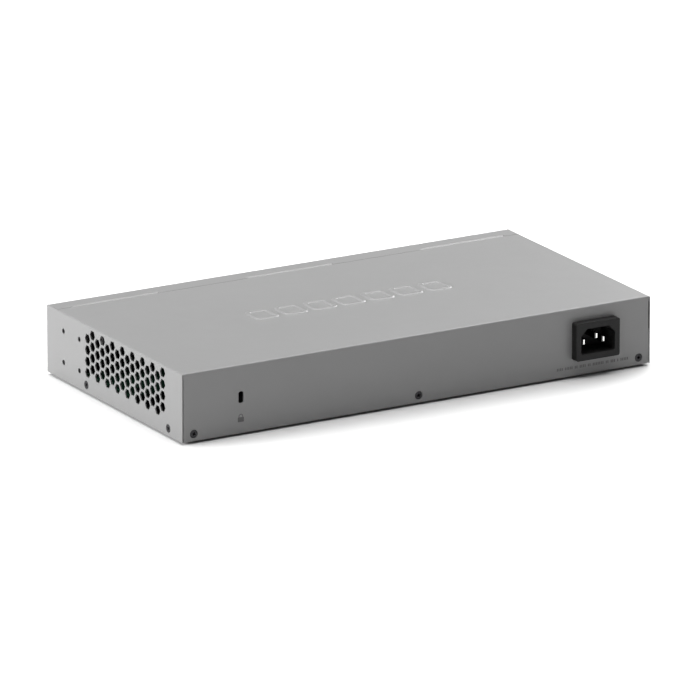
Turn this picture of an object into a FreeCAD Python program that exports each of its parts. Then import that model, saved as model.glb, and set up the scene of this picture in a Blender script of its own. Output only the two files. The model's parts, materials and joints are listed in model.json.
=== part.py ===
"""Fanless 24-port network switch in a folded sheet-metal case, one document object per sub-part.

X runs to the right seen from the front, Y from the front to the rear, Z up.
The origin is the bottom centre of the bounding box. All sizes are in millimetres.
"""
import FreeCAD, Part
import math
import os
import re

doc = FreeCAD.newDocument("network_switch")
sheet = doc.addObject("Spreadsheet::Sheet", "dims")

DIMENSIONS = {
    # case
    "body_width": 328.0, "body_depth": 169.0, "body_height": 44.3, "foot_height": 1.6,
    "sheet_thick": 0.8, "bend_outer": 1.0, "bend_inner": 0.2, "seam_gap": 0.3,
    "foot_radius": 8.0, "foot_inset": 14.0, "tray_rise": 9.4, "tray_front_rise": 5.6,
    # side vents, rack-ear holes and cover screws
    "vent_flats": 5.7, "vent_pitch": 7.21, "vent_column": 6.243, "vent_start": 51.5, "vent_low": 14.22,
    "ear_radius": 1.65, "ear_clear": 0.9, "ear_start": 21.0, "ear_spacing": 20.0, "ear_low": 12.8,
    "screw_level": 6.1, "screw_front": 49.6, "screw_rear": 151.8, "screw_outer": 156.0,
    "head_radius": 2.5, "shank_radius": 1.2, "head_gap": 0.15, "recess_span": 2.8, "recess_wide": 0.7,
    # rear wall
    "lock_across": 123.5, "lock_level": 24.1, "lock_wide": 3.6, "lock_tall": 7.4, "lock_corner": 1.4,
    "notch_low": 23.1, "notch_tall": 18.2, "notch_wide": 1.3, "notch_skin": 0.3, "notch_deep": 4.0,
    # power inlet
    "inlet_across": -123.6, "inlet_level": 23.9, "inlet_proud": 5.5, "inlet_wide": 30.8, "inlet_tall": 23.9,
    "inlet_neck_wide": 27.2, "inlet_neck_tall": 19.6, "inlet_back": 15.0, "inlet_corner": 1.2,
    "cavity_wide": 24.0, "cavity_tall": 16.0, "cavity_deep": 16.5, "cavity_chamfer": 4.3,
    "blade_wide": 2.0, "blade_tall": 4.0, "blade_pitch": 14.0, "blade_drop": 1.8, "earth_lift": 2.2,
    "blade_short": 5.2, "earth_short": 2.0, "blade_tail": 6.0, "blade_taper": 0.5, "cavity_corner": 1.6,
    # top flange of the front panel and its three tabs tucked under the lid
    "lip_depth": 13.0, "lip_gap": 0.3, "tab_wide": 61.0, "tab_pitch": 123.2, "tab_reach": 7.0, "tab_slope": 2.1,
    "tab_under": 0.1, "flange_reach": 46.0, "panel_clear": 0.15,
    # boards
    "board_thick": 1.6, "board_level": 8.6, "board_margin": 5.0, "board_depth": 92.0, "board_front": 3.2,
    "psu_left": 158.0, "psu_wide": 96.0, "psu_depth": 56.0, "psu_front": 107.0, "header_across": 83.0,
    "standoff_radius": 3.0, "board_screw_radius": 2.8, "board_screw_head": 1.8, "board_hole": 1.4,
    # packages on the main board
    "chip_wide": 27.0, "chip_tall": 1.8, "sink_wide": 44.0, "sink_base": 3.0, "fin_thick": 1.4, "fin_tall": 14.0,
    "fin_pitch": 6.0, "phy_wide": 14.0, "phy_tall": 1.2, "flash_wide": 8.0, "flash_deep": 6.0, "flash_tall": 1.6,
    "crystal_wide": 11.0, "crystal_deep": 4.6, "crystal_tall": 3.4, "coil_wide": 10.0, "coil_tall": 5.0,
    "coil_pitch": 14.0, "can_radius": 4.0, "can_tall": 11.0, "can_pitch": 12.0,
    "plug_wide": 12.0, "plug_narrow": 8.0, "plug_tall": 9.0,
    # parts on the power supply
    "core_wide": 26.0, "core_deep": 8.0, "core_tall": 24.0, "bobbin_wide": 17.0, "bobbin_deep": 20.0,
    "bobbin_tall": 18.0, "bulk_radius": 9.0, "bulk_tall": 26.0, "output_radius": 5.0, "output_tall": 20.0,
    "plate_thick": 3.0, "plate_deep": 24.0, "plate_tall": 22.0, "plate_pitch": 36.0, "choke_radius": 9.0,
    "choke_hole": 4.0, "choke_tall": 8.0, "fuse_radius": 2.6, "fuse_long": 20.0, "insulator_thick": 0.4,
    # earth fixing
    "ring_radius": 4.0, "ring_thick": 0.8, "stud_radius": 1.5, "stud_tall": 7.0,
    "nut_radius": 3.1, "nut_tall": 2.4,
    # copper ports, in blocks of two rows
    "jack_pitch": 14.0, "jack_block_wide": 58.4, "jack_block_tall": 26.0, "jack_block_deep": 28.0,
    "jack_first": -75.0, "jack_block_step": 63.0, "jack_wide": 11.7, "jack_tall": 7.4, "jack_deep": 16.0,
    "jack_row": 6.5, "latch_wide": 6.2, "latch_tall": 2.0, "shield_thick": 0.3, "port_recess": 0.3,
    "contact_pitch": 1.02, "contact_wide": 0.36, "contact_long": 10.0, "lamp_wide": 2.6, "lamp_tall": 1.3,
    # small-form ports
    "sfp_first": 102.0, "sfp_step": 17.0, "sfp_wide": 14.6, "sfp_tall": 9.8, "sfp_long": 48.0,
    "sfp_wall": 0.4, "sfp_lift": 0.3,
    # push buttons and status lamps
    "mode_across": -122.0, "reset_across": -134.0, "button_level": 16.0,
    "mode_radius": 2.5, "reset_radius": 1.2, "stem_radius": 1.2, "collar_radius": 2.0, "button_gap": 0.35,
    "lamp_first": -156.0, "lamp_step": 5.5, "lamp_radius": 1.3, "lamp_level": 29.0,
}

for row, (alias, number) in enumerate(DIMENSIONS.items(), 1):
    sheet.set(f"A{row}", alias)
    sheet.set(f"B{row}", str(number))
    sheet.setAlias(f"B{row}", alias)
doc.recompute()

FRONT = "(0 - (body_depth + inlet_proud)/2)"
REAR = "((body_depth - inlet_proud)/2)"
INNER_HALF = "(body_width/2 - sheet_thick)"
FLOOR = "(foot_height + sheet_thick)"
DECK = "(board_level + board_thick)"

ALONG_X = FreeCAD.Rotation(FreeCAD.Vector(0, 1, 0), 90)
ALONG_Y = FreeCAD.Rotation(FreeCAD.Vector(1, 0, 0), -90)
ALONG_Z = FreeCAD.Rotation()
HEX_ALONG_X = FreeCAD.Rotation(FreeCAD.Vector(1, 1, 1), 120)

subparts = []


def bind(text):
    """The text with each dimension's name turned into its cell in the sheet."""
    return re.sub(r"[a-z]\w*", lambda name: "dims." + name.group(), str(text))


def value(alias):
    """The number in a dimension's cell."""
    return float(sheet.get(alias))


def place(made, corner, rotation=ALONG_Z):
    made.Placement = FreeCAD.Placement(FreeCAD.Vector(), rotation)
    for axis, text in zip("xyz", corner):
        made.setExpression("Placement.Base." + axis, bind(text))
    return made


def box(size, corner):
    made = doc.addObject("Part::Box", "block")
    for side, text in zip(("Length", "Width", "Height"), size):
        made.setExpression(side, bind(text))
    return place(made, corner)


def centred_box(size, centre):
    """A box on its centre in X, from its near face in Y and its lower face in Z."""
    return box(size, (f"({centre[0]}) - ({size[0]})/2", centre[1], centre[2]))


def rod(radius, length, start, rotation=ALONG_Z):
    made = doc.addObject("Part::Cylinder", "rod")
    made.setExpression("Radius", bind(radius))
    made.setExpression("Height", bind(length))
    return place(made, start, rotation)


def copies(source, moves):
    """Linked copies of one object, each moved by an X, Y, Z triple."""
    made = []
    for move in moves:
        link = doc.addObject("App::Link", "copy")
        link.LinkedObject = source
        link.LinkTransform = True
        for axis, text in zip("xyz", move):
            link.setExpression("LinkPlacement.Base." + axis, bind(text))
        made.append(link)
    return made


def group(pieces):
    made = doc.addObject("Part::Compound", "group")
    made.Links = pieces
    return made


def fuse(pieces):
    made = doc.addObject("Part::MultiFuse", "fuse")
    made.Shapes = pieces
    made.Refine = True
    return made


def cut(base, tools):
    made = doc.addObject("Part::Cut", "cut")
    made.Base = base
    made.Tool = tools[0] if len(tools) == 1 else group(tools)
    return made


def soften(base, kind, radius, chosen):
    """Fillet or chamfer of the straight edges whose middle point passes the test."""
    doc.recompute()
    made = doc.addObject("Part::" + kind, "softened")
    made.Base = base
    edges = enumerate(base.Shape.Edges, 1)
    made.Edges = [(number, radius, radius) for number, edge in edges if chosen(edge.BoundBox)]
    return made


def finish(made, label):
    made.Label = label
    subparts.append(made)
    return made


def flat(low, high):
    return abs(high - low) < 0.001


def along_y(bounds):
    return flat(bounds.XMin, bounds.XMax) and flat(bounds.ZMin, bounds.ZMax)


def along_x(bounds):
    return flat(bounds.YMin, bounds.YMax) and flat(bounds.ZMin, bounds.ZMax)


def side_screw_places():
    return [(side, offset) for side in (-1, 1) for offset in ("screw_front", "screw_rear")]


def rear_screw_places():
    return ["0 - screw_outer", "0", "screw_outer"]


# ---------------------------------------------------------------- case


def lid_shell():
    """Top, two sides and rear wall of the lid, open to the front and below."""
    top = value("body_height")
    wall_height = "body_height - foot_height"
    outer = box(("body_width", "body_depth", wall_height), ("0 - body_width/2", FRONT, "foot_height"))
    at_top = lambda bounds: bounds.ZMin > top - 0.01
    rear = (value("body_depth") - value("inlet_proud")) / 2
    behind = lambda bounds: along_x(bounds) and bounds.YMin > rear - 0.01
    outer = soften(outer, "Fillet", value("bend_outer"), lambda b: at_top(b) and (along_y(b) or behind(b)))
    inner = box(
        ("body_width - 2*sheet_thick", "body_depth", wall_height),
        (f"0 - {INNER_HALF}", f"{FRONT} - sheet_thick", "foot_height - sheet_thick"),
    )
    under = lambda bounds: bounds.ZMin > top - value("sheet_thick") - 0.01
    inside = lambda bounds: along_x(bounds) and bounds.YMin > rear - value("sheet_thick") - 0.01
    inner = soften(inner, "Fillet", value("bend_inner"), lambda b: under(b) and (along_y(b) or inside(b)))
    return cut(outer, [inner])


def vent_prisms():
    """Honeycomb of hexagonal prisms that runs through both sides."""
    prism = doc.addObject("Part::Prism", "hexagon")
    prism.Polygon = 6
    prism.setExpression("Circumradius", bind("vent_flats/1.7320508"))
    prism.setExpression("Height", bind("body_width + 2*sheet_thick"))
    start = ("0 - body_width/2 - sheet_thick", f"{FRONT} + vent_start", "vent_low")
    place(prism, start, HEX_ALONG_X)
    moves = []
    for column in range(16):
        for row in range(4):
            moves.append(("0", f"{column}*vent_column", f"({row} + {column % 2}/2)*vent_pitch"))
    return copies(prism, moves)


def ear_rods(radius):
    """Rods through both sides where rack ears are screwed on."""
    start = ("0 - body_width/2 - sheet_thick", f"{FRONT} + ear_start", "ear_low")
    first = rod(radius, "body_width + 2*sheet_thick", start, ALONG_X)
    moves = [("0", f"{i}*ear_spacing", f"{k}*ear_spacing") for i in (0, 1) for k in (0, 1)]
    return copies(first, moves)


def screw_rods(radius):
    """Rods of one radius at the seven cover screws, as deep as the two sheets that they join."""
    rods = []
    for offset in ("screw_front", "screw_rear"):
        start = ("0 - body_width/2 - sheet_thick", f"{FRONT} + {offset}", "screw_level")
        rods.append(rod(radius, "body_width + 2*sheet_thick", start, ALONG_X))
    for across in rear_screw_places():
        rods.append(rod(radius, "4*sheet_thick", (across, f"{REAR} - 3*sheet_thick", "screw_level"), ALONG_Y))
    return rods


def top_cover():
    shell = lid_shell()
    front_gap = box(
        ("body_width - 2*sheet_thick", "lip_depth + 1", "4"),
        (f"0 - {INNER_HALF}", f"{FRONT} - 1", "body_height - 3"),
    )
    inlet_hole = centred_box(
        ("inlet_neck_wide + 0.4", "4*sheet_thick", "inlet_neck_tall + 0.4"),
        ("inlet_across", f"{REAR} - 2*sheet_thick", "inlet_level - inlet_neck_tall/2 - 0.2"),
    )
    lock = centred_box(
        ("lock_wide", "4*sheet_thick", "lock_tall"),
        ("lock_across", f"{REAR} - 2*sheet_thick", "lock_level - lock_tall/2"),
    )
    lock = soften(lock, "Fillet", value("lock_corner"), along_y)
    notch = box(
        ("notch_wide - notch_skin", "notch_deep + 1", "notch_tall"),
        ("0 - body_width/2 + notch_skin", f"{REAR} - notch_deep", "notch_low"),
    )
    seam_size = ("seam_gap", "2*sheet_thick", "body_height - 2*sheet_thick - foot_height")
    seam_start = f"{REAR} - sheet_thick"
    right_seam = box(seam_size, (f"{INNER_HALF} - seam_gap", seam_start, "foot_height"))
    left_seam = box(seam_size, (f"0 - {INNER_HALF}", seam_start, "foot_height"))
    openings = [front_gap, inlet_hole, lock, right_seam, left_seam]
    openings += vent_prisms() + ear_rods("ear_radius") + screw_rods("head_radius + head_gap")
    shell = cut(shell, openings)
    finish(cut(shell, [notch]), "top_cover")


def base_tray():
    width = f"2*{INNER_HALF}"
    depth = "body_depth - 2*sheet_thick"
    start_y = f"{FRONT} + sheet_thick"
    outer = box((width, depth, "tray_rise"), (f"0 - {INNER_HALF}", start_y, "foot_height"))
    inner = box(
        (f"{width} - 2*sheet_thick", f"{depth} - 2*sheet_thick", "tray_rise"),
        (f"0 - {INNER_HALF} + sheet_thick", f"{start_y} + sheet_thick", FLOOR),
    )
    low_front = box(
        (width, "4*sheet_thick", "tray_rise"),
        (f"0 - {INNER_HALF}", start_y, "foot_height + tray_front_rise"),
    )
    tray = cut(cut(outer, [inner]), [low_front])
    finish(cut(tray, screw_rods("shank_radius")), "base_tray")


def lip_end():
    """Rear edge of the front panel's top flange."""
    front = (value("body_depth") + value("inlet_proud")) / -2
    return front + value("lip_depth") - value("lip_gap")


def joggled_tab(across):
    """Tab that slopes down from the top flange and runs on level under the lid."""
    top = value("body_height")
    thick = value("sheet_thick")
    drop = thick + value("tab_under")
    end = lip_end()
    begin = end - value("tab_slope")
    shift = thick * math.tan(math.atan2(drop, value("tab_slope")) / 2)
    profile = [
        (begin - thick, top), (begin, top), (end, top - drop), (end + value("tab_reach"), top - drop),
        (end + value("tab_reach"), top - drop - thick), (end - shift, top - drop - thick),
        (begin - shift, top - thick), (begin - thick, top - thick),
    ]
    left = across - value("tab_wide") / 2
    corners = [FreeCAD.Vector(left, y, z) for y, z in profile]
    made = doc.addObject("Part::Feature", "tab")
    face = Part.Face(Part.makePolygon(corners + corners[:1]))
    made.Shape = face.extrude(FreeCAD.Vector(value("tab_wide"), 0, 0))
    return made


def front_sheet():
    """Front wall with its top flange, side flanges and tabs."""
    width = f"(2*{INNER_HALF} - 2*panel_clear)"
    left = f"0 - {INNER_HALF} + panel_clear"
    wall = box((width, "sheet_thick", "body_height - foot_height"), (left, FRONT, "foot_height"))
    lip = box((width, "lip_depth - lip_gap", "sheet_thick"), (left, FRONT, "body_height - sheet_thick"))
    tabs = [joggled_tab(number * value("tab_pitch")) for number in (-1, 0, 1)]
    gap = ("tab_wide", "tab_slope + 1", "2*sheet_thick")
    gap_start = f"{FRONT} + lip_depth - lip_gap - tab_slope"
    gap_low = "body_height - 1.5*sheet_thick"
    gaps = [centred_box(gap, (f"{number}*tab_pitch", gap_start, gap_low)) for number in (-1, 0, 1)]
    flanges = []
    for side in (-1, 1):
        edge = f"{side}*({INNER_HALF} - panel_clear - sheet_thick/2)"
        size = ("sheet_thick", "flange_reach", "body_height - foot_height - tray_rise - 3*sheet_thick")
        flanges.append(centred_box(size, (edge, FRONT, "foot_height + tray_rise + 0.4")))
    made = fuse([wall, cut(lip, gaps)] + tabs + flanges)
    front = (value("body_depth") + value("inlet_proud")) / -2
    top = value("body_height")
    at_edge = lambda b: along_x(b) and b.ZMin > top - 0.01 and b.YMax < front + 0.01
    return soften(made, "Fillet", value("bend_outer"), at_edge)


def front_panel():
    start_y = f"{FRONT} - sheet_thick"
    holes = []
    for number in range(3):
        size = ("jack_block_wide + 2*shield_thick + 0.4", "4*sheet_thick", "jack_block_tall + 0.7")
        holes.append(centred_box(size, (f"jack_first + {number}*jack_block_step", start_y, f"{DECK} - 0.2")))
    for number in range(2):
        size = ("sfp_wide + 0.4", "4*sheet_thick", "sfp_tall + 0.4")
        holes.append(centred_box(size, (f"sfp_first + {number}*sfp_step", start_y, f"{DECK} + sfp_lift - 0.2")))
    for number in range(3):
        across = f"lamp_first + {number}*lamp_step"
        holes.append(rod("lamp_radius + 0.1", "3*sheet_thick", (across, start_y, "lamp_level"), ALONG_Y))
    for name in ("mode", "reset"):
        start = (name + "_across", start_y, "button_level")
        holes.append(rod(name + "_radius + button_gap", "3*sheet_thick", start, ALONG_Y))
    finish(cut(front_sheet(), holes + ear_rods("ear_radius + ear_clear")), "front_panel")


def rubber_feet():
    reach_x = "(body_width/2 - foot_inset)"
    feet = []
    for side in (-1, 1):
        for end in (f"{FRONT} + foot_inset", f"{REAR} - foot_inset"):
            feet.append(rod("foot_radius", "foot_height", (f"{side}*{reach_x}", end, "0")))
    finish(group(feet), "rubber_feet")


def cover_screw(head_centre, turn):
    """Flush-headed screw with a cross recess; its head's face is at head_centre."""
    head = doc.addObject("Part::Cylinder", "head")
    shank = doc.addObject("Part::Cylinder", "shank")
    head.setExpression("Radius", bind("head_radius"))
    head.setExpression("Height", bind("sheet_thick"))
    shank.setExpression("Radius", bind("shank_radius"))
    shank.setExpression("Height", bind("5*sheet_thick"))
    recess = []
    for size in (("recess_span", "recess_wide"), ("recess_wide", "recess_span")):
        bar = doc.addObject("Part::Box", "recess")
        bar.setExpression("Length", bind(size[0]))
        bar.setExpression("Width", bind(size[1]))
        bar.setExpression("Height", bind("sheet_thick*0.6"))
        bar.setExpression("Placement.Base.x", bind(f"0 - {size[0]}/2"))
        bar.setExpression("Placement.Base.y", bind(f"0 - {size[1]}/2"))
        recess.append(bar)
    return place(cut(fuse([head, shank]), [fuse(recess)]), head_centre, turn)


def cover_screws():
    side_screws = []
    for side, offset in side_screw_places():
        turn = FreeCAD.Rotation(FreeCAD.Vector(0, 1, 0), -90 * side)
        centre = (f"{side}*body_width/2", f"{FRONT} + {offset}", "screw_level")
        side_screws.append(cover_screw(centre, turn))
    finish(group(side_screws), "side_cover_screws")
    turn = FreeCAD.Rotation(FreeCAD.Vector(1, 0, 0), 90)
    rear_screws = [cover_screw((across, REAR, "screw_level"), turn) for across in rear_screw_places()]
    finish(group(rear_screws), "rear_cover_screws")


# ---------------------------------------------------------------- power inlet


def inlet():
    """Recessed mains inlet with a thick collar outside the rear wall and its three blades."""
    collar_low = "inlet_level - inlet_tall/2"
    collar = centred_box(("inlet_wide", "inlet_proud", "inlet_tall"), ("inlet_across", REAR, collar_low))
    collar = soften(collar, "Fillet", value("inlet_corner"), along_y)
    neck = centred_box(
        ("inlet_neck_wide", "inlet_back", "inlet_neck_tall"),
        ("inlet_across", f"{REAR} - inlet_back", "inlet_level - inlet_neck_tall/2"),
    )
    face = f"({REAR} + inlet_proud)"
    cavity = centred_box(
        ("cavity_wide", "cavity_deep + 1", "cavity_tall"),
        ("inlet_across", f"{face} - cavity_deep", "inlet_level - cavity_tall/2"),
    )
    middle = value("inlet_level")
    cavity = soften(cavity, "Chamfer", value("cavity_chamfer"), lambda b: along_y(b) and b.ZMin > middle)
    low_edge = middle - value("cavity_tall") / 2 + 0.01
    cavity = soften(cavity, "Fillet", value("cavity_corner"), lambda b: along_y(b) and b.ZMin < low_edge)
    blades = [
        blade(f"inlet_across - blade_pitch/2", "0 - blade_drop", "blade_short"),
        blade(f"inlet_across + blade_pitch/2", "0 - blade_drop", "blade_short"),
        blade("inlet_across", "earth_lift", "earth_short"),
    ]
    finish(cut(cut(fuse([collar, neck]), [cavity]), blades), "inlet_housing")
    finish(group(blades), "inlet_blades")


def blade(across, lift, shortfall):
    """Flat blade with a tapered tip, from its tail behind the housing to short of the collar's face."""
    back = f"{REAR} + inlet_proud - cavity_deep - blade_tail"
    length = f"cavity_deep + blade_tail - {shortfall}"
    low = f"inlet_level + {lift} - blade_tall/2"
    made = centred_box(("blade_wide", length, "blade_tall"), (across, back, low))
    rear = (value("body_depth") - value("inlet_proud")) / 2
    tip = rear + value("inlet_proud") - value(shortfall)
    return soften(made, "Chamfer", value("blade_taper"), lambda b: b.YMin > tip - 0.01)


# ---------------------------------------------------------------- boards


def main_board():
    half = f"({INNER_HALF} - board_margin)"
    board = box(
        (f"2*{half}", "board_depth", "board_thick"),
        (f"0 - {half}", f"{FRONT} + board_front", "board_level"),
    )
    holes = [rod("board_hole", "4", (x, y, "board_level - 1")) for x, y in board_screw_places()]
    finish(cut(board, holes), "main_board")


def board_screw_places():
    rear_row = f"{FRONT} + board_front + board_depth - 6"
    front_row = f"{FRONT} + board_front + 34"
    spots = [(f"{x}", rear_row) for x in (-150, -50, 50, 150)]
    return spots + [("0 - 150", front_row), ("150", front_row)]


def psu_screw_places():
    near = f"{FRONT} + psu_front + 5"
    far = f"{FRONT} + psu_front + psu_depth - 5"
    return [(x, y) for x in ("5 - psu_left", "psu_wide - psu_left - 5") for y in (near, far)]


def standoffs_and_screws(places, standoff_label, screw_label):
    posts = []
    screws = []
    for x, y in places:
        post = rod("standoff_radius", f"board_level - {FLOOR}", (x, y, FLOOR))
        posts.append(cut(post, [rod("board_hole", "6", (x, y, "board_level - 4"))]))
        head = rod("board_screw_radius", "board_screw_head", (x, y, DECK))
        shank = rod("board_hole", "board_thick + 3", (x, y, "board_level - 3"))
        screws.append(fuse([head, shank]))
    finish(group(posts), standoff_label)
    finish(group(screws), screw_label)


def chips():
    """Packages on the main board, each a low block, and the finned cooler on the largest."""
    chip = centred_box(("chip_wide", "chip_wide", "chip_tall"), ("20", f"{FRONT} + 52", DECK))
    finish(chip, "switch_chip")
    sink_y = f"{FRONT} + 65.5 - sink_wide/2"
    base = centred_box(("sink_wide", "sink_wide", "sink_base"), ("20", sink_y, f"{DECK} + chip_tall"))
    fin_low = f"{DECK} + chip_tall + sink_base - 0.2"
    fin = centred_box(("fin_thick", "sink_wide", "fin_tall"), ("20", sink_y, fin_low))
    fins = copies(fin, [(f"({number} - 3.5)*fin_pitch", "0", "0") for number in range(8)])
    finish(fuse([base] + fins), "switch_heatsink")
    phy = centred_box(("phy_wide", "phy_wide", "phy_tall"), ("jack_first", f"{FRONT} + 44", DECK))
    finish(group(copies(phy, [("0", "0", "0"), ("30", "0", "0"), ("150", "0", "0")])), "phy_chips")
    flash = centred_box(("flash_wide", "flash_deep", "flash_tall"), ("60", f"{FRONT} + 60", DECK))
    finish(flash, "flash_memory")
    crystal = centred_box(("crystal_wide", "crystal_deep", "crystal_tall"), ("60", f"{FRONT} + 72", DECK))
    finish(crystal, "clock_crystal")
    coil = centred_box(("coil_wide", "coil_wide", "coil_tall"), ("0 - 125", f"{FRONT} + 60", DECK))
    finish(group(copies(coil, [(f"{number}*coil_pitch", "0", "0") for number in range(3)])), "board_inductors")
    can = rod("can_radius", "can_tall", ("0 - 125", f"{FRONT} + 80", DECK))
    finish(group(copies(can, [(f"{number}*can_pitch", "0", "0") for number in range(4)])), "board_capacitors")
    socket = centred_box(("plug_wide", "plug_narrow", "plug_tall"), ("0 - 70", f"{FRONT} + 82", DECK))
    finish(socket, "dc_socket")


def psu():
    """Open-frame power supply beside the inlet, over a folded insulator sheet."""
    left = "(0 - psu_left)"
    near = f"({FRONT} + psu_front)"
    board = box(("psu_wide", "psu_depth", "board_thick"), (left, near, "board_level"))
    holes = [rod("board_hole", "4", (x, y, "board_level - 1")) for x, y in psu_screw_places()]
    finish(cut(board, holes), "psu_board")
    sheet_size = ("psu_wide", "psu_depth", "insulator_thick")
    clearances = [rod("standoff_radius + 0.3", "4", (x, y, FLOOR)) for x, y in psu_screw_places()]
    finish(cut(box(sheet_size, (left, near, f"{FLOOR} + 0.5")), clearances), "psu_insulator")
    finish(transformer(f"{left} + 60", f"{near} + 20"), "psu_transformer")
    finish(rod("bulk_radius", "bulk_tall", (f"{left} + 24", f"{near} + 18", DECK)), "psu_bulk_capacitor")
    can = rod("output_radius", "output_tall", (f"{left} + 86", f"{near} + 15", DECK))
    finish(group(copies(can, [("0", "0", "0"), ("0", "13", "0")])), "psu_output_capacitors")
    plate = box(("plate_thick", "plate_deep", "plate_tall"), (f"{left} + 38", f"{near} + 6", DECK))
    finish(group(copies(plate, [("0", "0", "0"), ("plate_pitch", "0", "0")])), "psu_heatsinks")
    choke_centre = (f"{left} + 66", f"{near} + 43", DECK)
    choke = rod("choke_radius", "choke_tall", choke_centre)
    finish(cut(choke, [rod("choke_hole", "choke_tall + 2", choke_centre)]), "psu_choke")
    fuse_start = (f"{left} + 12", f"{near} + 34", f"{DECK} + fuse_radius + 0.6")
    fuse_body = rod("fuse_radius", "fuse_long", fuse_start, ALONG_X)
    finish(fuse_body, "psu_fuse")
    header_start = (f"{left} + header_across", f"{near} + 1", DECK)
    finish(centred_box(("plug_narrow", "plug_narrow", "plug_tall"), header_start), "psu_output_header")


def transformer(across, along):
    """Ferrite core around a wound bobbin."""
    core = centred_box(("core_wide", "core_deep", "core_tall"), (across, f"{along} - core_deep/2", DECK))
    bobbin_start = (across, f"{along} - bobbin_deep/2", f"{DECK} + 3")
    bobbin = centred_box(("bobbin_wide", "bobbin_deep", "bobbin_tall"), bobbin_start)
    return fuse([core, bobbin])


# ---------------------------------------------------------------- ports


def jack_face(number):
    """Middle of one jack block and the plane of its face."""
    return f"(jack_first + {number}*jack_block_step)", f"({FRONT} + port_recess)"


def jack_tools(number):
    """One cavity with its latch slot, copied over two rows: latches up above, down below."""
    across, face = jack_face(number)
    tools = []
    for row in (0, 1):
        up = 2 * row - 1
        level = f"{DECK} + jack_row + {row}*(jack_block_tall - 2*jack_row)"
        low = f"{level} - jack_tall/2 - {up}*latch_tall/2"
        main = centred_box(("jack_wide", "jack_deep + 1", "jack_tall"), (across, f"{face} - 1", low))
        slot_low = f"{level} - latch_tall/2 + {up}*jack_tall/2 - 0.05"
        slot = centred_box(("latch_wide", "jack_deep + 1", "latch_tall + 0.1"), (across, f"{face} - 1", slot_low))
        one = fuse([main, slot])
        for column in range(4):
            tools += copies(one, [(f"({column} - 1.5)*jack_pitch", "0", "0")])
    return tools


def lamp_blocks(number):
    """Two lamps per jack in the outer corners of the block's face."""
    across, face = jack_face(number)
    lamps = []
    for row in (0, 1):
        level = f"{DECK} + 0.5 + {row}*(jack_block_tall - lamp_tall - 1)"
        lamp = centred_box(("lamp_wide", "2", "lamp_tall"), (across, face, level))
        for column in range(4):
            for side in (-1, 1):
                lamps += copies(lamp, [(f"({column} - 1.5)*jack_pitch + {side}*4.8", "0", "0")])
    return lamps


def contacts(number):
    """Eight springy wires on the side of each cavity away from its latch."""
    across, face = jack_face(number)
    wires = []
    for row in (0, 1):
        up = 2 * row - 1
        middle = f"{DECK} + jack_row + {row}*(jack_block_tall - 2*jack_row)"
        level = f"{middle} - {up}*(jack_tall/2 - 0.6 + latch_tall/2) - contact_wide/2"
        wire = centred_box(("contact_wide", "contact_long", "contact_wide"), (across, f"{face} + 6", level))
        for column in range(4):
            for pin in range(8):
                move = f"({column} - 1.5)*jack_pitch + ({pin} - 3.5)*contact_pitch"
                wires += copies(wire, [(move, "0", "0")])
    return wires


def jacks():
    all_lamps = []
    for number in range(3):
        across, face = jack_face(number)
        size = ("jack_block_wide", "jack_block_deep", "jack_block_tall")
        block = centred_box(size, (across, face, DECK))
        lamps = lamp_blocks(number)
        all_lamps += lamps
        finish(cut(cut(block, jack_tools(number)), lamps), f"jack_housing_{number + 1}")
        wrap_wide = "jack_block_wide + 2*shield_thick"
        wrap_deep = "jack_block_deep + shield_thick - 0.2"
        wrap_size = (wrap_wide, wrap_deep, "jack_block_tall + shield_thick")
        wrap = centred_box(wrap_size, (across, f"{face} + 0.2", DECK))
        core = centred_box(
            ("jack_block_wide", "jack_block_deep + 1", "jack_block_tall + 1"),
            (across, f"{face} - 1", f"{DECK} - 1"),
        )
        finish(cut(wrap, [core]), f"jack_shield_{number + 1}")
        finish(group(contacts(number)), f"jack_contacts_{number + 1}")
    finish(group(all_lamps), "jack_lamps")


def sfp_ports():
    face = f"({FRONT} + port_recess)"
    level = f"({DECK} + sfp_lift)"
    connectors = []
    for number in range(2):
        across = f"(sfp_first + {number}*sfp_step)"
        outer = centred_box(("sfp_wide", "sfp_long", "sfp_tall"), (across, face, level))
        inner = centred_box(
            ("sfp_wide - 2*sfp_wall", "sfp_long - sfp_wall + 1", "sfp_tall - 2*sfp_wall"),
            (across, f"{face} - 1", f"{level} + sfp_wall"),
        )
        finish(cut(outer, [inner]), f"sfp_cage_{number + 1}")
        size = ("11", "8", "6")
        connectors.append(centred_box(size, (across, f"{face} + sfp_long - 9", f"{level} + sfp_wall + 0.4")))
    finish(group(connectors), "sfp_connectors")


def status_lamps():
    """Clear pipes from the front wall back to the lamps on the board, joined by one bridge."""
    pipes = []
    lamps = []
    for number in range(3):
        across = f"lamp_first + {number}*lamp_step"
        pipes.append(rod("lamp_radius", "9", (across, f"{FRONT} + 0.2", "lamp_level"), ALONG_Y))
        drop = ("2.4", "2.4", f"lamp_level - {DECK} - 0.7")
        pipes.append(centred_box(drop, (across, f"{FRONT} + 7", f"{DECK} + 1.8")))
        lamps.append(centred_box(("2", "1.6", "1"), (across, f"{FRONT} + 7.4", DECK)))
    bridge_start = ("lamp_first + lamp_step", f"{FRONT} + 7.4", "lamp_level - 7")
    bridge = centred_box(("2*lamp_step", "1.6", "2"), bridge_start)
    finish(fuse(pipes + [bridge]), "status_light_pipes")
    finish(group(lamps), "status_leds")


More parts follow.
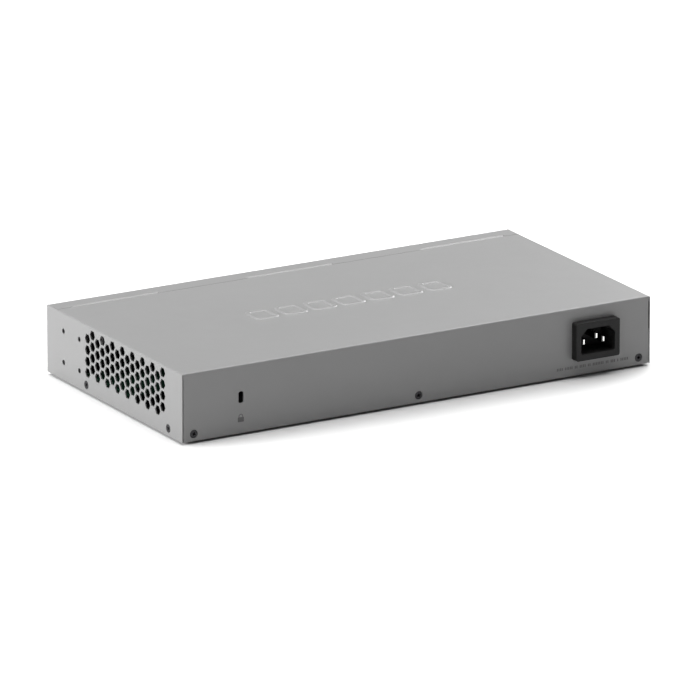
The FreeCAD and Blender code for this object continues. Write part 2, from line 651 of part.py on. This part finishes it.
def push_button(name, face_depth):
    """Stem with a retaining collar that slides in a side-acting switch on the board."""
    across = name + "_across"
    face = f"({FRONT} + {face_depth})"
    seat = f"({FRONT} + 8)"
    cap = rod(name + "_radius", f"5.6 - {face_depth}", (across, face, "button_level"), ALONG_Y)
    stem = rod("stem_radius", "6.4", (across, f"{FRONT} + 5", "button_level"), ALONG_Y)
    collar = rod("collar_radius", "0.8", (across, f"{seat} + 1.3", "button_level"), ALONG_Y)
    finish(fuse([cap, stem, collar]), name + "_button")
    body = centred_box(("8", "6", f"button_level - {DECK} + 4"), (across, seat, DECK))
    throat = rod("stem_radius + 0.1", "2", (across, f"{seat} - 0.5", "button_level"), ALONG_Y)
    chamber = rod("collar_radius + 0.3", "3.5", (across, f"{seat} + 1", "button_level"), ALONG_Y)
    finish(cut(body, [fuse([throat, chamber])]), name + "_switch")


# ---------------------------------------------------------------- wiring


def wire_run(points, radius):
    """Round wire along straight runs joined by tangent arcs."""
    corners = [FreeCAD.Vector(*point) for point in points]
    edges = []
    start = corners[0]
    for before, corner, after in zip(corners, corners[1:], corners[2:]):
        arrive = (corner - before).normalize()
        leave = (after - corner).normalize()
        trim = 0.45 * min((corner - before).Length, (after - corner).Length)
        bend_radius = trim / math.tan(arrive.getAngle(leave) / 2)
        inward = (leave - arrive).normalize()
        middle = corner + inward * (math.hypot(trim, bend_radius) - bend_radius)
        enter = corner - arrive * trim
        depart = corner + leave * trim
        edges.append(Part.LineSegment(start, enter).toShape())
        edges.append(Part.Arc(enter, middle, depart).toShape())
        start = depart
    edges.append(Part.LineSegment(start, corners[-1]).toShape())
    section = Part.Wire([Part.makeCircle(radius, corners[0], corners[1] - corners[0])])
    return Part.Wire(edges).makePipeShell([section], True, False)


def wires(label, runs, radius):
    """One sub-part that holds a solid for each run of wire."""
    made = doc.addObject("Part::Feature", "wire")
    made.Shape = Part.makeCompound([wire_run(points, radius) for points in runs])
    finish(made, label)


def wiring():
    """Mains wires to the supply, low-voltage wires to the main board and the earth wire to its stud."""
    rear = (value("body_depth") - value("inlet_proud")) / 2
    tails = rear + value("inlet_proud") - value("cavity_deep") - value("blade_tail")
    across = value("inlet_across")
    deck = value("board_level") + value("board_thick")
    live_level = value("inlet_level") - value("blade_drop")
    earth_level = value("inlet_level") + value("earth_lift")
    mains = []
    for side in (-1, 1):
        x = across + side * value("blade_pitch") / 2
        mains.append([(x, tails, live_level), (x, tails - 5, live_level), (x, tails - 5, deck)])
    wires("mains_wires", mains, 1.1)
    stud = (-49.0, tails - 4)
    high = 37.5
    ring_top = value("foot_height") + value("sheet_thick") + value("ring_thick")
    earth = [
        (across, tails, earth_level), (across, tails - 4, earth_level), (across + 9, tails - 4, high),
        (stud[0] - 9, tails - 4, high), (stud[0] - 7.5, tails - 4, ring_top + 1.8),
        (stud[0] - 3.4, tails - 4, ring_top + 1.15),
    ]
    wires("earth_wire", [earth], 1.1)
    front = (value("body_depth") + value("inlet_proud")) / -2
    header_x = value("header_across") - value("psu_left")
    header_y = front + value("psu_front") + 5
    socket_y = front + 86
    top = deck + value("plug_tall")
    supply = []
    for side in (-1, 1):
        start = (header_x + 2.2 * side, header_y)
        end = (-70 + 2.2 * side, socket_y)
        supply.append([(*start, top), (*start, top + 8), (*end, top + 8), (*end, top)])
    wires("supply_wires", supply, 0.8)
    earth_fixing((f"{stud[0]}", f"{stud[1]}"))


def earth_fixing(spot):
    """Stud on the tray's floor with the ring terminal and the nut on it."""
    finish(rod("stud_radius", "stud_tall", (*spot, FLOOR)), "earth_stud")
    ring_hole = rod("stud_radius + 0.1", "ring_thick + 1", (*spot, f"{FLOOR} - 0.5"))
    finish(cut(rod("ring_radius", "ring_thick", (*spot, FLOOR)), [ring_hole]), "earth_ring_terminal")
    nut = doc.addObject("Part::Prism", "nut")
    nut.Polygon = 6
    nut.setExpression("Circumradius", bind("nut_radius"))
    nut.setExpression("Height", bind("nut_tall"))
    place(nut, (*spot, f"{FLOOR} + ring_thick"))
    finish(cut(nut, [rod("stud_radius", "nut_tall + 2", (*spot, FLOOR))]), "earth_nut")


top_cover()
base_tray()
front_panel()
rubber_feet()
cover_screws()
inlet()
main_board()
standoffs_and_screws(board_screw_places(), "board_standoffs", "board_screws")
chips()
psu()
standoffs_and_screws(psu_screw_places(), "psu_standoffs", "psu_screws")
jacks()
sfp_ports()
status_lamps()
push_button("mode", "0.3")
push_button("reset", "1.6")
wiring()

doc.recompute()
failed = [made.Name for made in doc.Objects if "Invalid" in made.State or "Error" in made.State]
if failed:
    raise RuntimeError("objects that did not compute: " + ", ".join(failed))
for made in subparts:
    if made.Shape.isNull() or not made.Shape.isValid():
        raise RuntimeError("bad shape: " + made.Label)
os.makedirs("parts", exist_ok=True)
for made in subparts:
    made.Shape.exportStep(os.path.join("parts", made.Label + ".step"))
    bounds = made.Shape.BoundBox
    print("%-24s %3d solids %9.1f mm3 x %.2f..%.2f y %.2f..%.2f z %.2f..%.2f" % (
        made.Label, len(made.Shape.Solids), made.Shape.Volume,
        bounds.XMin, bounds.XMax, bounds.YMin, bounds.YMax, bounds.ZMin, bounds.ZMax,
    ))
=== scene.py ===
"""Looks of the network switch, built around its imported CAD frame. Metres, in the CAD's own frame."""
import json
import math

import bmesh
import bpy
from mathutils import Matrix, Vector


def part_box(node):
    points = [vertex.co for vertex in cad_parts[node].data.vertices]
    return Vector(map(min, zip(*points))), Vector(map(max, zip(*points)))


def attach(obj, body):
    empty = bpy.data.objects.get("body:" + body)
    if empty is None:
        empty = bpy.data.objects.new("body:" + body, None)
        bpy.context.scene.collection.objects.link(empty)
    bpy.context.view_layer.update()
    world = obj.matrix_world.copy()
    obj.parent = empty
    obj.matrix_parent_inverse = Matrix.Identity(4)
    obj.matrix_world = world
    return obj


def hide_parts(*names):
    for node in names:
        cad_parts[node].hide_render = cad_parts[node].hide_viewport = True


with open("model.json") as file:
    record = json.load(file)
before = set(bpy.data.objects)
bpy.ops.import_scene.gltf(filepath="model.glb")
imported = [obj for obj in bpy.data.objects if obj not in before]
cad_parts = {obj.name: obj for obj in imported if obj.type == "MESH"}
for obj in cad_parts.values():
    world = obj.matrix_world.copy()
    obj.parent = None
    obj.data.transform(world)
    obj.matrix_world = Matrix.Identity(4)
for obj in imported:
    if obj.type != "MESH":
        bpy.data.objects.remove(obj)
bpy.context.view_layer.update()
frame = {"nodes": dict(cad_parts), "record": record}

MM = 0.001
CHASSIS = "chassis"

case_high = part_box("top_cover")[1]
REAR_Y = case_high.y
FRONT_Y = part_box("front_panel")[0].y
RIGHT_X = case_high.x
TOP_Z = case_high.z
# the part of its range that a noise texture mostly fills
NOISE_LOW, NOISE_HIGH = 0.3, 0.7


# ---------------------------------------------------------------- materials


class Look:
    """A material's node tree, with short calls for the nodes that most finishes share."""

    def __init__(self, name, color, rough, metal=0.0):
        self.material = bpy.data.materials.new(name)
        self.material.use_nodes = True
        self.nodes = self.material.node_tree.nodes
        self.links = self.material.node_tree.links
        self.shader = self.nodes["Principled BSDF"]
        self.color = color
        self.rough = rough
        self.set("Base Color", (*color, 1.0))
        self.set("Roughness", rough)
        self.set("Metallic", metal)
        self.height = None

    def set(self, socket, number):
        self.shader.inputs[socket].default_value = number
        return self

    def node(self, kind, **settings):
        made = self.nodes.new(kind)
        for name, setting in settings.items():
            setattr(made, name, setting)
        return made

    def place_coordinates(self, stretch=(1, 1, 1)):
        """Object coordinates, in metres, with a stretch for brushed or drawn grain."""
        texture = self.node("ShaderNodeTexCoord")
        mapping = self.node("ShaderNodeMapping")
        mapping.inputs["Scale"].default_value = stretch
        self.links.new(texture.outputs["Object"], mapping.inputs["Vector"])
        return mapping.outputs["Vector"]

    def noise(self, scale, detail=3.0, stretch=(1, 1, 1)):
        made = self.node("ShaderNodeTexNoise")
        made.inputs["Scale"].default_value = scale
        made.inputs["Detail"].default_value = detail
        self.links.new(self.place_coordinates(stretch), made.inputs["Vector"])
        return made.outputs["Fac"]

    def remap(self, source, low, high):
        made = self.node("ShaderNodeMapRange")
        made.inputs["From Min"].default_value = NOISE_LOW
        made.inputs["From Max"].default_value = NOISE_HIGH
        made.inputs["To Min"].default_value = low
        made.inputs["To Max"].default_value = high
        self.links.new(source, made.inputs["Value"])
        return made.outputs["Result"]

    def vary_color(self, source, darker, lighter):
        """Base colour that drifts between two shades of itself."""
        ramp = self.node("ShaderNodeValToRGB")
        ramp.color_ramp.elements[0].position = NOISE_LOW
        ramp.color_ramp.elements[1].position = NOISE_HIGH
        ramp.color_ramp.elements[0].color = (*[part * darker for part in self.color], 1.0)
        ramp.color_ramp.elements[1].color = (*[part * lighter for part in self.color], 1.0)
        self.links.new(source, ramp.inputs["Fac"])
        self.links.new(ramp.outputs["Color"], self.shader.inputs["Base Color"])
        return self

    def vary_rough(self, source, spread):
        low, high = self.rough - spread, self.rough + spread
        self.links.new(self.remap(source, low, high), self.shader.inputs["Roughness"])
        return self

    def bump(self, source, distance, strength=1.0):
        made = self.node("ShaderNodeBump")
        made.inputs["Distance"].default_value = distance
        made.inputs["Strength"].default_value = strength
        self.links.new(source, made.inputs["Height"])
        if self.height is not None:
            self.links.new(self.height, made.inputs["Normal"])
        self.height = made.outputs["Normal"]
        self.links.new(self.height, self.shader.inputs["Normal"])
        return self


def powder_coat(name, color, rough):
    """Fine matt powder coat: a tight pebble under a broad, very slight drift of shade."""
    gloss = 0.38
    drift, patches, pebble = 9.0, 60.0, 2600.0
    look = Look(name, color, rough)
    look.set("Specular IOR Level", gloss)
    look.vary_color(look.noise(drift), 0.985, 1.015)
    look.vary_rough(look.noise(patches), 0.012)
    look.bump(look.noise(pebble, 2.0), 0.00004, 0.35)
    return look.material


def drawn_steel(name, color, rough, stretch=(1, 30, 30)):
    """Bare or plated metal with fine drawn grain and a drift of shade."""
    drift, drawn = 40.0, 220.0
    look = Look(name, color, rough, 1.0)
    look.vary_color(look.noise(drift, 4.0), 0.86, 1.08)
    grain = look.noise(drawn, 5.0, stretch)
    look.vary_rough(grain, 0.08)
    look.bump(grain, 0.00002, 0.4)
    return look.material


def worn_blades(name, color, rough):
    """Plated blades with painted shade on their flanks and a painted highlight on their flat ends, set by
    which way each face looks.
    """
    # how squarely a face looks along the blade, where its painted shade starts to lift and where it is
    # painted fully bright
    oblique, square = 0.8, 0.95
    look = Look(name, color, rough, 1.0)
    facing = look.node("ShaderNodeTexCoord")
    parts = look.node("ShaderNodeSeparateXYZ")
    look.links.new(facing.outputs["Normal"], parts.inputs["Vector"])
    painted_light_share = look.node("ShaderNodeMapRange")
    painted_light_share.inputs["From Min"].default_value = oblique
    painted_light_share.inputs["From Max"].default_value = square
    look.links.new(parts.outputs["Y"], painted_light_share.inputs["Value"])
    # painted shade: faces that look aside are darkened to 0.12 of the colour, and the flat ends keep it
    # as a painted highlight
    look.vary_color(painted_light_share.outputs["Result"], 0.12, 1.0)
    look.vary_rough(look.noise(220.0), 0.05)
    return look.material


def moulded(name, color, rough, grain=1800.0, specular=0.5):
    """Moulded plastic or rubber with a fine spark-eroded grain."""
    look = Look(name, color, rough)
    look.set("Specular IOR Level", specular)
    look.vary_color(look.noise(50.0), 0.9, 1.1)
    look.vary_rough(look.noise(300.0), 0.05)
    look.bump(look.noise(grain, 3.0), 0.00003, 0.5)
    return look.material


def clear_plastic(name, color):
    """Cloudy clear plastic of light pipes and lamps."""
    rough, clearness, acrylic = 0.18, 0.65, 1.49
    look = Look(name, color, rough)
    look.set("Transmission Weight", clearness)
    look.set("IOR", acrylic)
    look.bump(look.noise(500.0), 0.00002, 0.3)
    return look.material


def board_lacquer(name, color):
    """Solder mask over faint copper runs: fine straight bands under a sheen that varies in patches."""
    rough, runs = 0.32, 260.0
    look = Look(name, color, rough)
    bands = look.node("ShaderNodeTexWave", wave_type="BANDS", bands_direction="X")
    bands.inputs["Scale"].default_value = runs
    bands.inputs["Distortion"].default_value = 0.0
    look.links.new(look.place_coordinates(), bands.inputs["Vector"])
    look.vary_color(bands.outputs["Fac"], 0.7, 1.3)
    look.vary_rough(look.noise(90.0), 0.05)
    look.bump(bands.outputs["Fac"], 0.00002, 0.5)
    return look.material


def build_materials():
    """Every finish by its slot name."""
    return {
        "case_paint": powder_coat("case_paint", (0.18, 0.18, 0.18), 0.36),
        # zinc_steel is darkened near black as painted shade, so the gap under the body and the inside
        # seen through the vents read dark
        "zinc_steel": drawn_steel("zinc_steel", (0.05, 0.05, 0.052), 0.48),
        "screw_steel": drawn_steel("screw_steel", (0.042, 0.042, 0.044), 0.36, (1, 1, 1)),
        "foot_rubber": moulded("foot_rubber", (0.02, 0.02, 0.02), 0.8),
        "jack_plastic": moulded("jack_plastic", (0.014, 0.014, 0.015), 0.4),
        "shield_steel": drawn_steel("shield_steel", (0.42, 0.42, 0.41), 0.34),
        "contact_gold": drawn_steel("contact_gold", (0.83, 0.58, 0.22), 0.22),
        "lamp_lens": clear_plastic("lamp_lens", (0.7, 0.84, 0.62)),
        "led_body": clear_plastic("led_body", (0.85, 0.85, 0.7)),
        "button_plastic": moulded("button_plastic", (0.03, 0.03, 0.033), 0.42),
        "switch_plastic": moulded("switch_plastic", (0.66, 0.65, 0.6), 0.45),
        "inlet_plastic": moulded("inlet_plastic", (0.014, 0.014, 0.014), 0.5, specular=0.16),
        "blade_metal": worn_blades("blade_metal", (0.82, 0.82, 0.8), 0.2),
        "board_green": board_lacquer("board_green", (0.005, 0.028, 0.014)),
        "board_tan": board_lacquer("board_tan", (0.36, 0.24, 0.1)),
        "chip_black": moulded("chip_black", (0.02, 0.02, 0.021), 0.5),
        "cooler_aluminium": drawn_steel("cooler_aluminium", (0.62, 0.62, 0.63), 0.4),
        "crystal_can": drawn_steel("crystal_can", (0.7, 0.7, 0.69), 0.28),
        "capacitor_sleeve": moulded("capacitor_sleeve", (0.012, 0.02, 0.05), 0.3),
        "insulator_sheet": moulded("insulator_sheet", (0.55, 0.55, 0.5), 0.35),
        "transformer_core": moulded("transformer_core", (0.055, 0.05, 0.045), 0.55),
        "fuse_ceramic": moulded("fuse_ceramic", (0.75, 0.73, 0.68), 0.25),
        "wire_black": moulded("wire_black", (0.015, 0.015, 0.015), 0.4),
        "wire_green": moulded("wire_green", (0.08, 0.24, 0.03), 0.4),
        "wire_red": moulded("wire_red", (0.35, 0.02, 0.015), 0.4),
        "print_grey": moulded("print_grey", (0.07, 0.07, 0.07), 0.6),
    }


def paint(piece, material):
    piece.data.materials.clear()
    piece.data.materials.append(material)


def paint_frame(materials):
    """Every carried-over CAD node takes the finish of its record slot."""
    for entry in frame["record"]["subparts"]:
        paint(frame["nodes"][entry["node"]], materials[entry["material_slot"]])


# ---------------------------------------------------------------- mesh helpers


def add_piece(name, build, material, body=CHASSIS):
    """A piece whose mesh a function fills in, painted and riding on a body."""
    piece = bpy.data.objects.new(name, mesh_from(name, build))
    bpy.context.scene.collection.objects.link(piece)
    paint(piece, material)
    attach(piece, body)
    return piece


def mesh_from(name, build):
    """A mesh made by a function that fills a bmesh."""
    shape = bmesh.new()
    build(shape)
    bmesh.ops.recalc_face_normals(shape, faces=shape.faces)
    mesh = bpy.data.meshes.new(name)
    shape.to_mesh(mesh)
    shape.free()
    return mesh


def add_prism(shape, outline, low, high, place):
    """A flat outline (u, v) given depth from low to high; place turns (u, v, depth) into a point."""
    lower = [shape.verts.new(place(u, v, low)) for u, v in outline]
    upper = [shape.verts.new(place(u, v, high)) for u, v in outline]
    shape.faces.new(lower)
    shape.faces.new(upper)
    for i in range(len(outline)):
        k = (i + 1) % len(outline)
        shape.faces.new((lower[i], lower[k], upper[k], upper[i]))


def rounded_rectangle(width, height, radius, steps=5):
    """Outline points, anticlockwise from the right, with each corner in a number of steps."""
    points = []
    for quarter, (sign_u, sign_v) in enumerate(((1, 1), (-1, 1), (-1, -1), (1, -1))):
        centre_u = sign_u * (width / 2 - radius)
        centre_v = sign_v * (height / 2 - radius)
        for step in range(steps + 1):
            angle = (quarter + step / steps) * math.pi / 2
            points.append((centre_u + radius * math.cos(angle), centre_v + radius * math.sin(angle)))
    return points


def add_lathe(shape, profile, place, steps=40):
    """A profile of (radius, depth) points turned about the depth axis and closed at both ends."""
    rings = []
    for radius, depth in profile:
        ring = []
        for step in range(steps):
            angle = 2 * math.pi * step / steps
            ring.append(shape.verts.new(place(radius * math.cos(angle), radius * math.sin(angle), depth)))
        rings.append(ring)
    join_rings(shape, rings)


def join_rings(shape, rings):
    """Skin over a stack of rings with as many points each, closed at both ends."""
    for low, high in zip(rings, rings[1:]):
        for i in range(len(low)):
            k = (i + 1) % len(low)
            shape.faces.new((low[i], low[k], high[k], high[i]))
    shape.faces.new(rings[0])
    shape.faces.new(rings[-1])


def on_rear(x, z):
    """Places an outline on the rear wall: u to the viewer's left, v up, depth out of the wall."""
    return lambda u, v, depth: Vector((x + u, REAR_Y + depth, z + v))


# ---------------------------------------------------------------- printed marks


PRINT_LIFT = 0.03 * MM


def padlock_print(materials):
    """Plain padlock symbol printed under the lock slot."""
    from_side, up = 40.3 * MM, 11.2 * MM
    place = on_rear(RIGHT_X - from_side, up)
    body_wide, body_tall, body_drop, corner = 4.2 * MM, 3.0 * MM, 1.1 * MM, 0.4 * MM
    outer, inner, foot, lift = 1.5 * MM, 1.0 * MM, 0.4 * MM, 1.0 * MM
    steps = 14

    def build(shape):
        body = rounded_rectangle(body_wide, body_tall, corner)
        add_prism(shape, [(u, v - body_drop) for u, v in body], 0.0, PRINT_LIFT, place)
        arc = [math.pi * step / steps for step in range(steps + 1)]
        bow = [(outer, foot)] + [(outer * math.cos(a), lift + outer * math.sin(a)) for a in arc]
        bow += [(-outer, foot), (-inner, foot)]
        bow += [(-inner * math.cos(a), lift + inner * math.sin(a)) for a in arc] + [(inner, foot)]
        add_prism(shape, bow, 0.0, PRINT_LIFT, place)

    add_piece("padlock_print", build, materials["print_grey"])


def rating_print(materials):
    """Groups of plain ticks where the rating line is printed below the inlet."""
    past_inlet, up = 9.0 * MM, 6.9 * MM
    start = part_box("inlet_housing")[0].x - past_inlet
    groups = (5, 1, 3, 2, 7, 2, 4, 2, 5, 4)
    tick_wide, tick_tall, tick_corner = 0.62 * MM, 1.8 * MM, 0.15 * MM
    pitch, gap = 1.15 * MM, 1.75 * MM

    def build(shape):
        x = start
        outline = rounded_rectangle(tick_wide, tick_tall, tick_corner, 3)
        for count in groups:
            for _ in range(count):
                add_prism(shape, outline, 0.0, PRINT_LIFT, on_rear(x, up))
                x += pitch
            x += gap - pitch + tick_wide

    add_piece("rating_print", build, materials["print_grey"])


def port_numbers(materials):
    """Plain numbers of the copper ports, odd above their column and even below it."""
    size = 2.6 * MM
    columns, pitch = 4, 14.0 * MM
    above, below = 3.2 * MM, 3.4 * MM
    upright = Matrix.Rotation(math.pi / 2, 4, "X")

    def build(shape):
        number = 1
        for block in ("jack_housing_1", "jack_housing_2", "jack_housing_3"):
            low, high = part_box(block)
            for column in range(columns):
                x = (low.x + high.x) / 2 + (column - (columns - 1) / 2) * pitch
                for z in (high.z + above, low.z - below):
                    curve = bpy.data.curves.new("number", "FONT")
                    curve.body = str(number)
                    curve.size = size
                    curve.align_x = "CENTER"
                    curve.align_y = "CENTER"
                    curve.extrude = PRINT_LIFT
                    figure = bpy.data.objects.new("number", curve)
                    mesh = bpy.data.meshes.new_from_object(figure)
                    mesh.transform(Matrix.Translation((x, FRONT_Y, z)) @ upright)
                    shape.from_mesh(mesh)
                    bpy.data.objects.remove(figure)
                    bpy.data.meshes.remove(mesh)
                    number += 1

    add_piece("port_numbers", build, materials["print_grey"])


# ---------------------------------------------------------------- pieces in place of plain CAD solids


def raised_ring(shape, x, y):
    """One rounded ring that rises from the lid on soft shoulders, outside and inside."""
    wide, tall, line, corner = 17.5 * MM, 19.0 * MM, 3.8 * MM, 4.6 * MM
    height, slope, sunk = 0.62 * MM, 0.95 * MM, 0.02 * MM
    steps = 6
    # share of the shoulder's width and of its height: straight, and eased at both ends
    shoulder = ((0.0, 0.0), (0.14, 0.06), (0.86, 0.94), (1.0, 1.0))
    levels = [(slope * across, TOP_Z - sunk + height * rise) for across, rise in shoulder]
    outer = [(inset, z) for inset, z in levels]
    inner = [(line - inset, z) for inset, z in reversed(levels)]
    loops = []
    for inset, z in outer + inner:
        outline = rounded_rectangle(wide - 2 * inset, tall - 2 * inset, corner - inset, steps)
        loops.append([shape.verts.new((x + u, y + v, z)) for u, v in outline])
    for low, high in zip(loops, loops[1:] + loops[:1]):
        for i in range(len(low)):
            k = (i + 1) % len(low)
            shape.faces.new((low[i], low[k], high[k], high[i])).smooth = True


def raised_mark(materials):
    """Generic mark pressed up out of the lid: a row of rounded rings."""
    count, pitch, from_rear = 7, 20.3 * MM, 84.6 * MM
    y = REAR_Y - from_rear

    def build(shape):
        for number in range(count):
            raised_ring(shape, (number - (count - 1) / 2) * pitch, y)

    add_piece("raised_mark", build, materials["case_paint"])


def soft_feet(materials):
    """Rubber feet with a rounded rim and a shallow dish underneath."""
    low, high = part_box("rubber_feet")
    radius = 8.0 * MM
    rim, dish, dish_deep = 0.6 * MM, 5.2 * MM, 0.4 * MM
    steps, around = 6, 48
    profile = [(radius, high.z - low.z)]
    for step in range(steps + 1):
        angle = step / steps * math.pi / 2
        profile.append((radius - rim + rim * math.cos(angle), rim - rim * math.sin(angle)))
    profile += [(dish, 0.0), (dish - dish_deep, dish_deep)]

    def standing(x, y):
        return lambda u, v, depth: Vector((x + u, y + v, low.z + depth))

    def build(shape):
        for x in (low.x + radius, high.x - radius):
            for y in (low.y + radius, high.y - radius):
                add_lathe(shape, profile, standing(x, y), around)

    piece = add_piece("soft_feet", build, materials["foot_rubber"])
    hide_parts("rubber_feet")


def cross_screw(shape, place):
    """Screw with a flat head flush at depth 0 and a tapered cross recess."""
    head, chamfer, shank, recess = 2.5 * MM, 0.25 * MM, 1.2 * MM, 1.45 * MM
    thick, length, deep = 0.8 * MM, 4.0 * MM, 1.5 * MM
    # radius, depth, and how far the outline is pinched into a cross
    profile = (
        (shank, -length, 0.0), (shank, -thick, 0.0), (head, -thick, 0.0), (head, -chamfer, 0.0),
        (head - chamfer, 0.0, 0.0), (recess * 1.1, 0.0, 0.0), (recess, 0.0, 0.6),
        (recess * 0.8, -0.4 * deep, 0.6), (recess * 0.3, -deep, 0.3),
    )
    steps = 48
    rings = []
    for radius, depth, pinch in profile:
        ring = []
        for step in range(steps):
            angle = 2 * math.pi * step / steps
            reach = radius * (1 - pinch * (1 - math.cos(2 * angle) ** 2))
            ring.append(shape.verts.new(place(reach * math.cos(angle), reach * math.sin(angle), depth)))
        rings.append(ring)
    join_rings(shape, rings)


def cover_screws(materials):
    """The seven cover screws, each with its recess turned its own way."""
    rear_low, rear_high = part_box("rear_cover_screws")
    side_low, side_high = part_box("side_cover_screws")
    head = 2.5 * MM
    rear_turns, side_turns = (0.3, 1.2, 2.1), (0.6, 1.1)
    z = (rear_low.z + rear_high.z) / 2
    rear_places = (rear_low.x + head, (rear_low.x + rear_high.x) / 2, rear_high.x - head)
    side_places = (side_low.y + head, side_high.y - head)

    def turned(x, y, out, along, angle):
        """Places (u, v, depth) on a wall, turned in its plane."""
        def place(u, v, depth):
            across = u * math.cos(angle) - v * math.sin(angle)
            up = u * math.sin(angle) + v * math.cos(angle)
            return Vector((x, y, z + up)) + along * across + out * depth
        return place

    def build(shape):
        right, back = Vector((1, 0, 0)), Vector((0, 1, 0))
        for x, turn in zip(rear_places, rear_turns):
            cross_screw(shape, turned(x, REAR_Y, back, right, turn))
        for side in (-1, 1):
            for y, turn in zip(side_places, side_turns):
                cross_screw(shape, turned(side * RIGHT_X, y, right * side, back, turn))

    piece = add_piece("cover_screws", build, materials["screw_steel"])
    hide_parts("rear_cover_screws", "side_cover_screws")


def round_edges():
    """Small rounded edges on moulded CAD parts."""
    widths = {"inlet_housing": 0.35 * MM, "mode_button": 0.25 * MM}
    sharp = math.radians(50)
    for node, width in widths.items():
        rounding = frame["nodes"][node].modifiers.new("rounding", "BEVEL")
        rounding.width = width
        rounding.segments = 3
        rounding.limit_method = "ANGLE"
        rounding.angle_limit = sharp


# ---------------------------------------------------------------- setting


CAMERA_PLACE = (3.1433, 5.4355, 1.9299)
CAMERA_TARGET = (-0.0023, -0.0054, 0.0114)
LENS, SENSOR, FAR = 552.2, 36.0, 50.0


def aimed(name, data, place, target):
    """A light or camera at its place, turned towards its target."""
    made = bpy.data.objects.new(name, data)
    bpy.context.scene.collection.objects.link(made)
    made.location = Vector(place)
    made.rotation_euler = (Vector(target) - made.location).to_track_quat("-Z", "Y").to_euler()
    return made


def camera():
    """Long lens behind the right side and a little above."""
    data = bpy.data.cameras.new("camera")
    data.lens = LENS
    data.sensor_width = SENSOR
    data.clip_end = FAR
    bpy.context.scene.camera = aimed("camera", data, CAMERA_PLACE, CAMERA_TARGET)


def floor():
    """Plain pale floor, just clear of the soles of the feet."""
    half_side, cells, drop = 20.0, 8, 0.1 * MM
    look = Look("floor_white", (0.65, 0.65, 0.65), 0.9)
    look.vary_color(look.noise(3.0), 0.995, 1.005)

    def build(shape):
        bmesh.ops.create_grid(shape, x_segments=cells, y_segments=cells, size=half_side)

    made = bpy.data.objects.new("floor", mesh_from("floor", build))
    made.location.z = -drop
    bpy.context.scene.collection.objects.link(made)
    paint(made, look.material)


WORLD_STRENGTH = 0.16
# name, place, target, width, height, watts
LIGHTS = (
    ("overhead", (-0.1, -0.3, 2.2), (0.0, 0.0, 0.0), 2.6, 3.0, 111),
    ("left_fill", (-1.1, -0.6, 0.75), (0.0, 0.0, 0.0), 0.8, 0.6, 14),
    ("side_box", (2.6, -1.0, 0.9), (0.0, 0.0, 0.02), 1.6, 0.8, 125),
    ("rear_fill", (0.6, 3.4, 0.9), (0.0, 0.0, 0.02), 1.6, 1.2, 5),
)


def area_light(name, place, target, width, height, watts):
    data = bpy.data.lights.new(name, "AREA")
    data.shape = "RECTANGLE"
    data.size = width
    data.size_y = height
    data.energy = watts
    aimed(name, data, place, target)


def lighting():
    """Large soft boxes in an even white surround."""
    world = bpy.data.worlds.new("studio")
    world.use_nodes = True
    background = world.node_tree.nodes["Background"]
    background.inputs["Color"].default_value = (1, 1, 1, 1)
    background.inputs["Strength"].default_value = WORLD_STRENGTH
    bpy.context.scene.world = world
    for light in LIGHTS:
        area_light(*light)
    bpy.context.scene.view_settings.view_transform = "Standard"


materials = build_materials()
paint_frame(materials)
padlock_print(materials)
rating_print(materials)
port_numbers(materials)
raised_mark(materials)
soft_feet(materials)
cover_screws(materials)
round_edges()
camera()
floor()
lighting()
